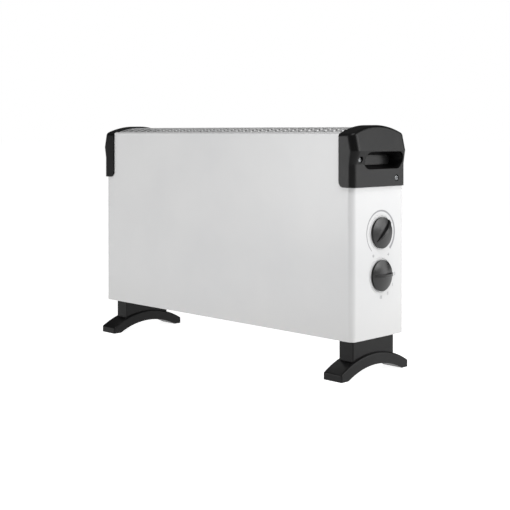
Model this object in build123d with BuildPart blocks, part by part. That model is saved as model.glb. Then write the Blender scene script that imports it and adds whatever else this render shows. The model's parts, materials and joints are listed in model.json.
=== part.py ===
from build123d import *
import os
from math import cos, radians, sin, tan

os.makedirs("parts", exist_ok=True)

# Driving dimensions, in millimetres.
# The origin is on the floor, midway between the two feet. X runs along the heater towards
# the end with the knobs, Y runs from the front panel to the back panel, and Z is up.

# Steel body
BODY_W = 530.0          # length over the two steel ends
BODY_D = 108.0          # depth over the front and back panels
BODY_H = 276.0          # height of the front panel
FLOOR_GAP = 51.5        # floor to the underside of the body
BODY_SHIFT = -4.0       # the middle of the body is forward of the middle of the feet
CORNER_R = 8.0          # round front corners of the wrapped sheet
BACK_BEND_R = 1.6       # outside radius of the tight bends
SHEET_T = 0.8           # thickness of all steel sheet
BACK_FLANGE = 14.0      # casing flanges that the back panel is screwed to
TOP_FLANGE = 12.0       # ledges that the grille lies on
SHOULDER = 9.0          # the casing is this much lower under the end caps
FIT_GAP = 0.3           # clearance between neighbouring pieces

# End caps
CAP_WRAP = 21.8         # length of the cap along the front panel
CAP_DROP = 72.5         # depth of the cap below the front panel's top edge
CAP_WALL = 3.0          # wall over the steel end
CAP_SKIN = 2.6          # wall over the front panel
CAP_BACK_SKIN = 1.4     # wall over the back panel
CAP_FRONT_R = 8.0       # outside corner at the front, seen from above
CAP_BACK_R = 4.5        # outside corner at the back
CAP_FOOT_R = 8.0        # round lower corner of the strip on the front panel
DOME_RISE = 10.5        # crown of the cap above the front panel's top edge
DOME_DROP = 2.0         # the crown falls to this far below that edge at front and back
DOME_WALL = 1.8         # wall of the crown
DOME_END_R = 4.5        # rounding between the crown and the end face
HOOD_OUT = 5.0          # the hood's lip stands out from the end face
HOOD_LIP = 24.0         # depth of the lip below the front panel's top edge
HOOD_TOP = 2.0          # depth where the hood meets the plane of the end face again
HOOD_FOOT = 42.0        # depth where its underside runs out into the end face
HOOD_FRONT_R = 10.8     # outside corner of the lip at the front
HOOD_BACK_R = 8.8       # outside corner of the lip at the back

# Finger pocket in each cap
POCKET_L = 82.5
POCKET_H = 24.0
POCKET_DEPTH = 18.0
POCKET_DROP = 36.8      # depth of its middle below the front panel's top edge
POCKET_SHIFT = 7.7      # its middle is behind the middle of the body
POCKET_DRAFT = 17.0     # slope of its walls, in degrees
POCKET_WALL = 1.8
PAD_RISE = 1.0          # raised pad on the pocket's floor
PAD_MARGIN = 1.6        # flat border left round the pad

# Screws through each cap, as (behind the middle of the body, below its top edge)
CAP_SCREW_HIGH = (-42.4, 35.7)
CAP_SCREW_LOW = (36.8, 61.6)
CAP_BORE_R = 4.5        # counterbore round the screw head
CAP_BORE_FLOOR = 1.2    # plastic left under the screw head

# Top grille
CROWN = 8.0             # rise of the grille above the front panel's top edge
LEDGE = 6.0             # flat strip along each long edge of the grille
GRILLE_SET = 2.2        # the grille's edge is set back from the outer faces
SLOT_END = 7.4          # the last slot's middle lies this far from the cap
SLOT_W = 8.0
SLOT_COUNT = 31
SLOT_MARGIN = 3.0       # metal left between a slot and the flat strip
TONGUE = 7.0            # the grille runs on under the caps
TONGUE_HALF = 30.0      # half width of that tongue

# Back panel and bottom tray
PANEL_SET = 1.0         # the back panel stops short of the casing's ends
VENT_W = 5.0
VENT_L = 38.0
VENT_END = 73.0         # the last vent's middle lies this far from the body's end
VENT_COUNT = 25
VENT_UP = 48.0          # height of the back vents above the body's underside
TRAY_LIP = 14.0         # upturned edges of the tray
INTAKE_L = 30.0
INTAKE_GAP = 14.0       # solid strip between the two rows of intake slots
INTAKE_COUNT = 21
BACK_SCREW_LOW = 22.0   # heights of the back panel's screws above the body's underside
BACK_SCREW_MID = 105.0
TRAY_SCREW_SET = 106.0  # outer screws from the back panel into the tray, from the body's end

# Feet
FOOT_SET = 23.0         # middle of each foot from the body's end
FOOT_L = 143.2
FOOT_W = 32.4
FOOT_TOP = 29.5         # top of the arch
FOOT_END = 9.5          # height of the end faces
FOOT_ARCH = 14.0        # clear height under the arch
HEEL = 14.0             # flat length that rests on the floor at each end
FOOT_EDGE_R = 2.6
FOOT_CORNER_R = 2.0
NECK_L = 87.2
NECK_W = 24.8
NECK_CORNER_R = 1.6
FOOT_SCREW_Y = 26.0     # foot screws, fore and aft of the middle
FOOT_GRIP = 14.0        # plastic clamped between the screw head and the tray

# Knobs on the right end
KNOB_SHIFT = 6.0        # knobs sit behind the middle of the body
THERMO_UP = 141.0       # thermostat axis above the body's underside
SWITCH_UP = 83.2        # selector axis above the body's underside
THERMO_REST = 44.0      # direction of the thermostat pointer at rest, in degrees above +Y
SWITCH_REST = 0.0       # direction of the selector pointer at rest
KNOB_R = 21.0
KNOB_RIM = 2.8          # height of the round base at its rim
KNOB_CROWN = 3.6        # bulge of the base's face
KNOB_HOLLOW = 2.0       # depth of the hollow behind it, over the screw heads
KNOB_WALL = 1.8         # wall round the hollow
KNOB_OFF = 0.5          # gap between the knob and the panel
GRIP_TOP = 10.0         # top of the arched finger grip above the knob's foot
GRIP_TAIL = 1.2         # the grip's tail stops short of the rim
GRIP_POINT = 0.8        # its pointer end passes the rim
GRIP_END = 3.6          # height of the pointer end
GRIP_W_POINT = 4.8
GRIP_W_TAIL = 3.0
GRIP_EDGE_R = 0.5
HUB_R = 6.0
DIAL_RING_R = 24.6      # pressed ring round each knob
DIAL_RING_W = 1.8
DIAL_RING_H = 0.6

# Spindles, thermostat and selector switch
SPINDLE_R = 3.0
SPINDLE_FLAT = 2.0      # distance from the axis to the flat
SPINDLE_GAP = 0.05      # radial clearance of the running and seated fits
SPINDLE_IN_KNOB = 4.6
SPINDLE_IN_BODY = 12.0
PANEL_HOLE_R = 5.0
BUSH_R = 4.8
DEVICE_SCREW_SPAN = 28.0
THERMO_SIZE = (36.0, 38.0, 18.0)    # width, height, depth behind the panel
SWITCH_SIZE = (34.0, 34.0, 20.0)
DEVICE_CORNER = 4.0
TAB_W = 6.3
TAB_T = 0.8
TAB_L = 9.0
TAB_SPREAD = 9.0        # tabs lie this far from the device's axis

# Heating elements and what carries them
BAFFLE_SET = 75.0       # right end to the sheet between the elements and the control space
BAFFLE_CLEAR = 44.0     # it ends this far below the front panel's top edge
BRACKET_SET = 75.0      # left end to the lower bracket
BRACKET_H = 118.0
STAND_FLANGE = 14.0
STAND_GAP = 1.0         # the stands clear the front and back panels
STAND_SCREW_Y = 30.0
ELEMENT_UP = 78.0       # element axes above the body's underside
ELEMENT_SPREAD = 25.0   # each element from the middle of the body
FIN_CLEAR = 8.0         # the fins end this far from the sheets that hold the tube
FIN_SPAN = 46.0         # tip to tip across the X of fins
FIN_SHEET = 1.2
FIN_CORE_R = 6.5
FIN_LIP = 5.0
FIN_TURN = 45.0         # lean of the fins from upright, in degrees
FIN_TIPS = 4
TUBE_R = 4.0
TUBE_OUT = 10.0         # tube past the sheet that holds it
TUBE_GAP = 0.05
COLLAR_R = 7.0
COLLAR_FLANGE_R = 9.5
COLLAR_FLANGE_T = 2.0
COLLAR_OUT = 4.0
PIN_R = 1.5
PIN_L = 12.0
LINK_W = 9.0
LINK_BEFORE_TIP = 4.0   # the link strip sits this far from the pin tips

# Thermal cut-out on the baffle
CUTOUT_UP = 175.0
CUTOUT_SHIFT = -22.0
CUTOUT_R = 8.0
CUTOUT_DEPTH = 9.0
CUTOUT_FACE_R = 6.8     # sensing face that looks through the baffle
CUTOUT_FACE_OUT = 2.0
CUTOUT_EAR = 24.0       # distance between its two screws
CUTOUT_EAR_W = 9.0
CUTOUT_EAR_T = 1.2
CUTOUT_TAB = 5.0

# Terminal block, cord inlet and earth point in the control space
BLOCK_SIZE = (30.0, 18.0, 13.0)
BLOCK_SET = 43.0        # its middle from the body's right end
BLOCK_Y = 18.0
BLOCK_EDGE = 0.9        # chamfer of its upper edges
POLE_PITCH = 10.0
POLE_UP = 6.5
CORD_BORE_R = 2.4
BLOCK_SCREW_R = 1.9
BLOCK_SCREW_Y = 4.5
GLAND_SET = 29.0        # cord inlet from the body's right end
GLAND_UP = 34.0
GLAND_BORE_R = 3.7
GLAND_R = 6.2
GLAND_FLANGE_R = 9.5
GLAND_FLANGE_T = 3.0
GLAND_TAIL = 9.0
GLAND_NUT_R = 9.0
GLAND_NUT_T = 4.0
EARTH_SET = 43.0        # earth point from the body's right end
EARTH_Y = -30.0
TAG_R = 5.0
TAG_T = 0.8
TAG_BARREL_L = 4.0
TAG_BARREL_W = 4.0

# Wiring
LEAD_R = 1.3
LEAD_BEND = 4.5
LEAD_GAP = 0.05
LEAD_GRIP = 6.0         # length of lead inside the terminal block
GROMMET_R = 5.0
GROMMET_LIP = 1.6
GROMMET_LONG = 4.0
NEUTRAL_UP = 21.0       # height of the long lead above the body's underside
RISER_GAP = 12.0        # upright runs clear the tabs and pins they lead to
LOOP_GAP = 11.0
SUPPLY_OUT = 24.0       # straight start of the supply lead
SUPPLY_LIFT = 12.0      # its rise on the way to the upright run
EARTH_OUT = 8.0         # straight ends of the earth lead

# Screws, as (head radius, head height, shank radius, length)
SMALL_SCREW = (3.3, 2.0, 1.5, 7.0)
CAP_SCREW = (3.6, 2.0, 1.7, 9.0)
FOOT_SCREW = (4.2, 2.8, 2.0, 20.0)
EARTH_SCREW = (4.0, 2.4, 2.0, 6.0)
HEAD_ROUND = 0.7        # share of the head's height that is rounded
RECESS_SHARE = 0.62     # arm of the cross recess as a share of the head
RECESS_W = 1.1
RECESS_DEEP = 1.1
HOLE_GAP = 0.1          # hole radius beyond the shank
NUT_R = 4.0             # foot nut, centre to corner
NUT_T = 3.2

# Places worked out from the sizes above
END_X = BODY_W / 2
FRONT_Y = BODY_SHIFT - BODY_D / 2
BACK_Y = BODY_SHIFT + BODY_D / 2
FLANGE_Y = BACK_Y - SHEET_T
UNDER_Z = FLOOR_GAP
TOP_Z = FLOOR_GAP + BODY_H
FLOOR_Z = UNDER_Z + SHEET_T
CAP_X = END_X - CAP_WRAP
CAP_END_X = END_X + CAP_WALL
CAP_Z = TOP_Z - CAP_DROP
SEAM_X = CAP_X - FIT_GAP
INNER_X = END_X - SHEET_T
KNOB_Y = BODY_SHIFT + KNOB_SHIFT
THERMO_Z = UNDER_Z + THERMO_UP
SWITCH_Z = UNDER_Z + SWITCH_UP
POCKET_Y = BODY_SHIFT + POCKET_SHIFT
POCKET_Z = TOP_Z - POCKET_DROP
ELEMENT_Z = UNDER_Z + ELEMENT_UP
ELEMENT_YS = (BODY_SHIFT - ELEMENT_SPREAD, BODY_SHIFT + ELEMENT_SPREAD)
CUTOUT_Y = BODY_SHIFT + CUTOUT_SHIFT
CUTOUT_Z = UNDER_Z + CUTOUT_UP
GLAND_Z = UNDER_Z + GLAND_UP
NEUTRAL_Z = UNDER_Z + NEUTRAL_UP
SLOT_PITCH = 2 * (SEAM_X - SLOT_END) / (SLOT_COUNT - 1)
VENT_PITCH = 2 * (END_X - VENT_END) / (VENT_COUNT - 1)
FOOT_X = END_X - FOOT_SET
BAFFLE_X = END_X - BAFFLE_SET
BRACKET_X = BRACKET_SET - END_X
BAFFLE_H = BODY_H - BAFFLE_CLEAR
FIN_LENGTH = BAFFLE_X - BRACKET_X - 2 * FIN_CLEAR
BLOCK_X = END_X - BLOCK_SET
GLAND_X = END_X - GLAND_SET
EARTH_X = END_X - EARTH_SET
TRAY_SCREW_X = END_X - TRAY_SCREW_SET
BACK_SCREW_X = END_X - BACK_FLANGE / 2
BACK_SCREW_ZS = (UNDER_Z + BACK_SCREW_LOW, UNDER_Z + BACK_SCREW_MID, CAP_Z - BACK_FLANGE)
TRAY_SCREW_XS = (-TRAY_SCREW_X, 0.0, TRAY_SCREW_X)
TRAY_SCREW_Z = UNDER_Z + TRAY_LIP / 2
LOW = (Align.CENTER, Align.CENTER, Align.MIN)


def cap_screw_places():
    """Screw places on an end face, as (y, z)."""
    return [(BODY_SHIFT + y, TOP_Z - drop) for y, drop in (CAP_SCREW_HIGH, CAP_SCREW_LOW)]


def body_plan(inset):
    """Casing seen from above, drawn inset from its outer faces."""
    depth = FLANGE_Y - FRONT_Y
    with BuildSketch() as plan:
        with Locations((0, FRONT_Y + depth / 2)):
            Rectangle(BODY_W - 2 * inset, depth - 2 * inset)
        fillet(plan.vertices().group_by(Axis.Y)[0], CORNER_R - inset)
        fillet(plan.vertices().group_by(Axis.Y)[-1], BACK_BEND_R - inset)
    return plan.sketch


def pan_screw(seat, size):
    """Cross-head screw. The plane seat lies under the head, with its normal out of the head."""
    head_r, head_h, shank_r, length = size
    up = Axis(seat.origin, seat.z_dir)
    with BuildPart(seat) as screw:
        Cylinder(head_r, head_h, align=LOW)
        fillet(screw.faces().sort_by(up)[-1].edges(), head_h * HEAD_ROUND)
        with BuildSketch(seat.offset(head_h)):
            Rectangle(2 * head_r * RECESS_SHARE, RECESS_W)
            Rectangle(RECESS_W, 2 * head_r * RECESS_SHARE)
        extrude(amount=-RECESS_DEEP, mode=Mode.SUBTRACT)
        with BuildSketch(seat):
            Circle(shank_r)
        extrude(amount=-length)
    return screw.part


def tabs(root, places):
    """Push-on tabs standing on the plane root at the given places."""
    with BuildPart() as group:
        with BuildSketch(root):
            with Locations(*places):
                Rectangle(TAB_T, TAB_W)
        extrude(amount=TAB_L)
    return group.part


def lead(points):
    """Insulated wire along straight runs joined by arcs."""
    with BuildPart() as wire:
        with BuildLine() as route:
            FilletPolyline(*points, radius=LEAD_BEND)
        with BuildSketch(Plane(origin=route.line @ 0, z_dir=route.line % 0)):
            Circle(LEAD_R)
        sweep()
    return wire.part


def finish(builder, name):
    """Label one sub-part and write it."""
    builder.part.label = name
    export_step(builder.part, f"parts/{name}.step")


# Front casing: one sheet wrapped round the front and both ends
END_FACE = Plane.YZ.offset(END_X)

with BuildPart() as front_casing:
    with BuildSketch(Plane.XY.offset(UNDER_Z)):
        add(body_plan(0))
        add(body_plan(SHEET_T), mode=Mode.SUBTRACT)
        with Locations((0, FLANGE_Y)):
            Rectangle(BODY_W - 2 * BACK_FLANGE, 2 * BACK_BEND_R, mode=Mode.SUBTRACT)
    extrude(amount=BODY_H)
    # The walls are lower under the caps
    with BuildSketch(Plane.XY.offset(TOP_Z)):
        with Locations((END_X, BODY_SHIFT), (-END_X, BODY_SHIFT)):
            Rectangle(2 * (END_X - SEAM_X), 2 * BODY_D)
    extrude(amount=-SHOULDER, mode=Mode.SUBTRACT)
    # Ledge for the grille, with a bent edge
    with BuildSketch(Plane.XY.offset(TOP_Z)):
        with Locations((0, FRONT_Y + TOP_FLANGE / 2)):
            Rectangle(2 * SEAM_X, TOP_FLANGE)
    extrude(amount=-SHEET_T)
    along = front_casing.edges().filter_by(Axis.X).filter_by_position(Axis.Z, TOP_Z, TOP_Z)
    fillet(along.sort_by(Axis.Y)[0], BACK_BEND_R)
    # Pressed rings round the knobs
    with BuildSketch(END_FACE):
        with Locations((KNOB_Y, THERMO_Z), (KNOB_Y, SWITCH_Z)):
            Circle(DIAL_RING_R)
            Circle(DIAL_RING_R - DIAL_RING_W, mode=Mode.SUBTRACT)
    extrude(amount=DIAL_RING_H)
    rings = front_casing.faces().sort_by(Axis.X)[-2:]
    fillet(rings.edges(), DIAL_RING_H * HEAD_ROUND)
    # Spindle holes and device screw holes in the right end
    with BuildSketch(END_FACE):
        with Locations((KNOB_Y, THERMO_Z), (KNOB_Y, SWITCH_Z)):
            Circle(PANEL_HOLE_R)
            with GridLocations(0, DEVICE_SCREW_SPAN, 1, 2):
                Circle(SMALL_SCREW[2] + HOLE_GAP)
    extrude(amount=-2 * SHEET_T, mode=Mode.SUBTRACT)
    # Openings for the finger pockets and pilot holes for the cap screws, through both ends
    with BuildSketch(Plane.YZ):
        with Locations((POCKET_Y, POCKET_Z)):
            SlotOverall(POCKET_L + 2 * (POCKET_WALL + FIT_GAP), POCKET_H + 2 * (POCKET_WALL + FIT_GAP))
        with Locations(*cap_screw_places()):
            Circle(CAP_SCREW[2] + HOLE_GAP)
    extrude(amount=BODY_W, both=True, mode=Mode.SUBTRACT)
    # Pilot holes in the back flanges
    with BuildSketch(Plane.XZ.offset(-FLANGE_Y)):
        with Locations(*[(side * BACK_SCREW_X, z) for side in (-1, 1) for z in BACK_SCREW_ZS]):
            Circle(SMALL_SCREW[2] + HOLE_GAP)
    extrude(amount=2 * SHEET_T, mode=Mode.SUBTRACT)
finish(front_casing, "front_casing")


# Back panel: flat sheet on the casing's flanges, with vents and a ledge for the grille
with BuildPart() as back_panel:
    with BuildSketch(Plane.XZ.offset(-BACK_Y)):
        with Locations((0, UNDER_Z + BODY_H / 2)):
            Rectangle(BODY_W - 2 * PANEL_SET, BODY_H)
        with Locations((END_X, TOP_Z), (-END_X, TOP_Z)):
            Rectangle(2 * (END_X - SEAM_X), 2 * SHOULDER, mode=Mode.SUBTRACT)
        with Locations((0, UNDER_Z + VENT_UP)):
            with GridLocations(VENT_PITCH, 0, VENT_COUNT, 1):
                SlotOverall(VENT_L, VENT_W, rotation=90, mode=Mode.SUBTRACT)
        with Locations(*[(side * BACK_SCREW_X, z) for side in (-1, 1) for z in BACK_SCREW_ZS]):
            Circle(SMALL_SCREW[2] + HOLE_GAP, mode=Mode.SUBTRACT)
        with Locations(*[(x, TRAY_SCREW_Z) for x in TRAY_SCREW_XS]):
            Circle(SMALL_SCREW[2] + HOLE_GAP, mode=Mode.SUBTRACT)
        with Locations((GLAND_X, GLAND_Z)):
            Circle(GLAND_R + HOLE_GAP, mode=Mode.SUBTRACT)
    extrude(amount=SHEET_T)
    with BuildSketch(Plane.XY.offset(TOP_Z)):
        with Locations((0, BACK_Y - TOP_FLANGE / 2)):
            Rectangle(2 * SEAM_X, TOP_FLANGE)
    extrude(amount=-SHEET_T)
    along = back_panel.edges().filter_by(Axis.X).filter_by_position(Axis.Z, TOP_Z, TOP_Z)
    fillet(along.sort_by(Axis.Y)[-1], BACK_BEND_R)
finish(back_panel, "back_panel")


# Bottom tray: floor of the body with upturned edges against the casing and the back panel
TRAY_FRONT = FRONT_Y + SHEET_T
TRAY_BACK = FLANGE_Y
TRAY_NOTCH_X = END_X - BACK_FLANGE - FIT_GAP
FOOT_SCREWS = [(side * FOOT_X, y) for side in (-1, 1) for y in (-FOOT_SCREW_Y, FOOT_SCREW_Y)]
STAND_SCREWS = [(x, BODY_SHIFT + y) for x in (BRACKET_X - STAND_FLANGE / 2,
                                              BAFFLE_X + SHEET_T + STAND_FLANGE / 2)
                for y in (-STAND_SCREW_Y, STAND_SCREW_Y)]

with BuildPart() as bottom_tray:
    with BuildSketch(Plane.XY.offset(UNDER_Z)) as floor:
        depth = FLANGE_Y - SHEET_T - TRAY_FRONT
        with Locations((0, TRAY_FRONT + depth / 2)):
            Rectangle(2 * INNER_X, depth)
        fillet(floor.vertices().group_by(Axis.Y)[0], CORNER_R)
        fillet(floor.vertices().group_by(Axis.Y)[-1], BACK_BEND_R)
        with Locations((0, TRAY_BACK - SHEET_T)):
            Rectangle(2 * TRAY_NOTCH_X, 2 * SHEET_T)
        with Locations((0, BODY_SHIFT)):
            with GridLocations(VENT_PITCH, INTAKE_L + INTAKE_GAP, INTAKE_COUNT, 2):
                SlotOverall(INTAKE_L, VENT_W, rotation=90, mode=Mode.SUBTRACT)
        with Locations(*FOOT_SCREWS):
            Circle(FOOT_SCREW[2] + HOLE_GAP, mode=Mode.SUBTRACT)
        with Locations(*STAND_SCREWS):
            Circle(SMALL_SCREW[2] + HOLE_GAP, mode=Mode.SUBTRACT)
        with Locations((EARTH_X, EARTH_Y)):
            Circle(EARTH_SCREW[2] + HOLE_GAP, mode=Mode.SUBTRACT)
    extrude(amount=SHEET_T)
    # Upturned edges
    with BuildSketch(Plane.XY.offset(UNDER_Z)):
        with Locations((0, TRAY_FRONT + SHEET_T / 2)):
            Rectangle(2 * (INNER_X - CORNER_R), SHEET_T)
        with Locations((0, TRAY_BACK - SHEET_T / 2)):
            Rectangle(2 * TRAY_NOTCH_X, SHEET_T)
        with Locations((INNER_X - SHEET_T / 2, BODY_SHIFT), (SHEET_T / 2 - INNER_X, BODY_SHIFT)):
            Rectangle(SHEET_T, BODY_D - 2 * CORNER_R - 2 * SHEET_T)
    extrude(amount=TRAY_LIP)
    # Screw holes in the back edge
    with BuildSketch(Plane.XZ.offset(-TRAY_BACK)):
        with Locations(*[(x, TRAY_SCREW_Z) for x in TRAY_SCREW_XS]):
            Circle(SMALL_SCREW[2] + HOLE_GAP)
    extrude(amount=2 * SHEET_T, mode=Mode.SUBTRACT)
finish(bottom_tray, "bottom_tray")


# Top grille: arched sheet with one row of slots that run from front to back
GRILLE_FRONT = FRONT_Y + GRILLE_SET
GRILLE_BACK = BACK_Y - GRILLE_SET
GRILLE_D = GRILLE_BACK - GRILLE_FRONT


def grille_edge(rise):
    """Front-to-back profile of one face of the grille, at a height above the ledges."""
    with BuildLine() as edge:
        front = Line((GRILLE_FRONT, TOP_Z + rise), (GRILLE_FRONT + LEDGE, TOP_Z + rise))
        crown = (BODY_SHIFT, TOP_Z + CROWN - SHEET_T + rise)
        back = Line((GRILLE_BACK - LEDGE, TOP_Z + rise), (GRILLE_BACK, TOP_Z + rise))
        ThreePointArc(front @ 1, crown, back @ 0)
    return edge.line


with BuildPart() as top_grille:
    with BuildSketch(Plane.YZ):
        with BuildLine():
            add(grille_edge(0))
            add(grille_edge(SHEET_T))
            for y in (GRILLE_FRONT, GRILLE_BACK):
                Line((y, TOP_Z), (y, TOP_Z + SHEET_T))
        make_face()
    extrude(amount=SEAM_X + TONGUE, both=True)
    # Only a tongue runs on under the caps
    with BuildSketch(Plane.XY.offset(TOP_Z)):
        for side in (-1, 1):
            with Locations((side * (SEAM_X + TONGUE), BODY_SHIFT)):
                Rectangle(2 * TONGUE, 2 * BODY_D)
                Rectangle(2 * TONGUE, 2 * TONGUE_HALF, mode=Mode.SUBTRACT)
    extrude(amount=CROWN, both=True, mode=Mode.SUBTRACT)
    with BuildSketch(Plane.XY.offset(TOP_Z)):
        with Locations((0, BODY_SHIFT)):
            with GridLocations(SLOT_PITCH, 0, SLOT_COUNT, 1):
                SlotOverall(GRILLE_D - 2 * (LEDGE + SLOT_MARGIN), SLOT_W, rotation=90)
    extrude(amount=2 * CROWN, both=True, mode=Mode.SUBTRACT)
finish(top_grille, "top_grille")


# End caps: moulded shells with an arched crown, a flared hood and a finger pocket below it
CAP_FRONT = FRONT_Y - CAP_SKIN
CAP_BACK = BACK_Y + CAP_BACK_SKIN
LIP_Z = TOP_Z - HOOD_LIP
HOOD_FOOT_Z = TOP_Z - HOOD_FOOT
CROWN_Z = TOP_Z + DOME_RISE
CAP_TOP = CROWN_Z + DOME_WALL
CROWN_HALF = (CAP_BACK - CAP_FRONT) / 2
CROWN_SAG = DOME_RISE + DOME_DROP
CROWN_R = (CROWN_HALF ** 2 + CROWN_SAG ** 2) / (2 * CROWN_SAG)
HOOD_SLOPE = HOOD_OUT / (HOOD_LIP - HOOD_TOP)


def cap_plan(level, reach, front_r, back_r):
    """Cap seen from above at one level, out to x = reach."""
    with BuildSketch(Plane.XY.offset(level)) as plan:
        with Locations(((CAP_X + reach) / 2, (CAP_FRONT + CAP_BACK) / 2)):
            Rectangle(reach - CAP_X, CAP_BACK - CAP_FRONT)
        outer = plan.vertices().group_by(Axis.X)[-1].sort_by(Axis.Y)
        fillet(outer[0], front_r)
        outer = plan.vertices().group_by(Axis.X)[-1].sort_by(Axis.Y)
        fillet(outer[-1], back_r)
    return plan.sketch


def crown_view(inset):
    """Cap seen from the end: flat sides under an arched crown, which is drawn inset."""
    middle = (CAP_FRONT + CAP_BACK) / 2
    with BuildSketch(Plane.YZ) as view:
        with Locations((middle, CROWN_Z - CROWN_R)):
            Circle(CROWN_R - inset)
        with Locations((middle, CROWN_Z)):
            Rectangle(2 * CROWN_HALF, 2 * CROWN_R, mode=Mode.INTERSECT)
    return view.sketch


with BuildPart() as cap_hollow:
    # Space for the steel body
    with BuildSketch(Plane.XY.offset(CAP_Z - CAP_WALL)) as steel:
        with Locations((END_X - CAP_WRAP, BODY_SHIFT)):
            Rectangle(2 * CAP_WRAP, BODY_D)
        outer = steel.vertices().group_by(Axis.X)[-1].sort_by(Axis.Y)
        fillet(outer[0], CORNER_R - FIT_GAP)
    extrude(amount=CAP_TOP - CAP_Z + CAP_WALL)
    extrude(crown_view(DOME_WALL), amount=2 * BODY_W, both=True, mode=Mode.INTERSECT)

with BuildPart() as end_cap_right:
    flat = cap_plan(HOOD_FOOT_Z, CAP_END_X, CAP_FRONT_R, CAP_BACK_R)
    lip = cap_plan(LIP_Z, CAP_END_X + HOOD_OUT, HOOD_FRONT_R, HOOD_BACK_R)
    reach = CAP_END_X + HOOD_OUT - HOOD_SLOPE * (CAP_TOP - LIP_Z)
    extrude(flat, amount=CAP_Z - HOOD_FOOT_Z)
    loft([flat, lip])
    loft([lip, cap_plan(CAP_TOP, reach, HOOD_FRONT_R, HOOD_BACK_R)])
    extrude(crown_view(0), amount=2 * BODY_W, both=True, mode=Mode.INTERSECT)
    # Round lower corner of the strips on the front and back panels
    low = end_cap_right.edges().filter_by(Axis.Y).group_by(Axis.Z)[0].sort_by(Axis.X)[0]
    fillet(low, CAP_FOOT_R)
    # Soft edge between the crown and the end face
    crown_face = end_cap_right.faces().filter_by(GeomType.CYLINDER).sort_by(Axis.Z)[-1]
    ends = [e for e in crown_face.edges() if e.center().X > END_X - HOOD_FRONT_R]
    fillet(ends, DOME_END_R)
    add(cap_hollow.part, mode=Mode.SUBTRACT)
    # Finger pocket: a tapered cup with a raised pad on its floor
    mouth = Plane.YZ.offset(CAP_END_X)
    with BuildSketch(mouth):
        with Locations((POCKET_Y, POCKET_Z)):
            SlotOverall(POCKET_L + 2 * POCKET_WALL, POCKET_H + 2 * POCKET_WALL)
    extrude(amount=-(POCKET_DEPTH + POCKET_WALL), taper=POCKET_DRAFT)
    with BuildSketch(mouth):
        with Locations((POCKET_Y, POCKET_Z)):
            SlotOverall(POCKET_L, POCKET_H)
    extrude(amount=-POCKET_DEPTH, taper=POCKET_DRAFT, mode=Mode.SUBTRACT)
    with BuildSketch(mouth):
        with Locations((POCKET_Y, POCKET_Z)):
            SlotOverall(POCKET_L, POCKET_H)
    extrude(amount=2 * HOOD_OUT, mode=Mode.SUBTRACT)
    pad_shrink = 2 * (POCKET_DEPTH * tan(radians(POCKET_DRAFT)) + PAD_MARGIN)
    with BuildSketch(Plane.YZ.offset(CAP_END_X - POCKET_DEPTH)):
        with Locations((POCKET_Y, POCKET_Z)):
            SlotOverall(POCKET_L - pad_shrink, POCKET_H - pad_shrink)
    extrude(amount=PAD_RISE)
    # Counterbored screw holes
    with BuildSketch(Plane.YZ.offset(END_X + CAP_BORE_FLOOR)):
        with Locations(*cap_screw_places()):
            Circle(CAP_BORE_R)
    extrude(amount=CAP_WALL + HOOD_OUT, mode=Mode.SUBTRACT)
    with BuildSketch(Plane.YZ.offset(END_X)):
        with Locations(*cap_screw_places()):
            Circle(CAP_SCREW[2] + HOLE_GAP)
    extrude(amount=CAP_WALL, mode=Mode.SUBTRACT)
finish(end_cap_right, "end_cap_right")

with BuildPart() as end_cap_left:
    mirror(end_cap_right.part, about=Plane.YZ)
finish(end_cap_left, "end_cap_left")

CAP_SEATS = [Plane(origin=(side * (END_X + CAP_BORE_FLOOR), y, z), z_dir=(side, 0, 0))
             for side in (-1, 1) for y, z in cap_screw_places()]
with BuildPart() as cap_screws:
    add([pan_screw(seat, CAP_SCREW) for seat in CAP_SEATS])
finish(cap_screws, "cap_screws")


# Feet: an arched bar with flat heels and a neck up to the tray
with BuildPart() as foot_right:
    with BuildSketch(Plane.YZ.offset(FOOT_X)):
        with BuildLine():
            ThreePointArc((-FOOT_L / 2, FOOT_END), (0, FOOT_TOP), (FOOT_L / 2, FOOT_END))
            Polyline((FOOT_L / 2, FOOT_END), (FOOT_L / 2, 0), (FOOT_L / 2 - HEEL, 0))
            ThreePointArc((FOOT_L / 2 - HEEL, 0), (0, FOOT_ARCH), (HEEL - FOOT_L / 2, 0))
            Polyline((HEEL - FOOT_L / 2, 0), (-FOOT_L / 2, 0), (-FOOT_L / 2, FOOT_END))
        make_face()
    extrude(amount=FOOT_W / 2, both=True)
    corners = foot_right.edges().filter_by(Axis.Z)
    fillet(corners, FOOT_CORNER_R)
    arch_top = foot_right.faces().filter_by(GeomType.CYLINDER).sort_by(Axis.Z)[-1]
    fillet(arch_top.edges(), FOOT_EDGE_R)
    with BuildSketch(Plane.XY.offset(UNDER_Z)):
        with Locations((FOOT_X, 0)):
            RectangleRounded(NECK_W, NECK_L, NECK_CORNER_R)
    extrude(amount=-(UNDER_Z - (FOOT_TOP + FOOT_ARCH) / 2))
    for y in (-FOOT_SCREW_Y, FOOT_SCREW_Y):
        with Locations(Plane(origin=(FOOT_X, y, 0), z_dir=(0, 0, -1))):
            CounterBoreHole(FOOT_SCREW[2] + HOLE_GAP, FOOT_SCREW[0] + FIT_GAP,
                            UNDER_Z - FOOT_GRIP, depth=UNDER_Z)
finish(foot_right, "foot_right")

with BuildPart() as foot_left:
    mirror(foot_right.part, about=Plane.YZ)
finish(foot_left, "foot_left")

FOOT_SEATS = [Plane(origin=(x, y, UNDER_Z - FOOT_GRIP), z_dir=(0, 0, -1)) for x, y in FOOT_SCREWS]
with BuildPart() as foot_screws:
    add([pan_screw(seat, FOOT_SCREW) for seat in FOOT_SEATS])
finish(foot_screws, "foot_screws")

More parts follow.
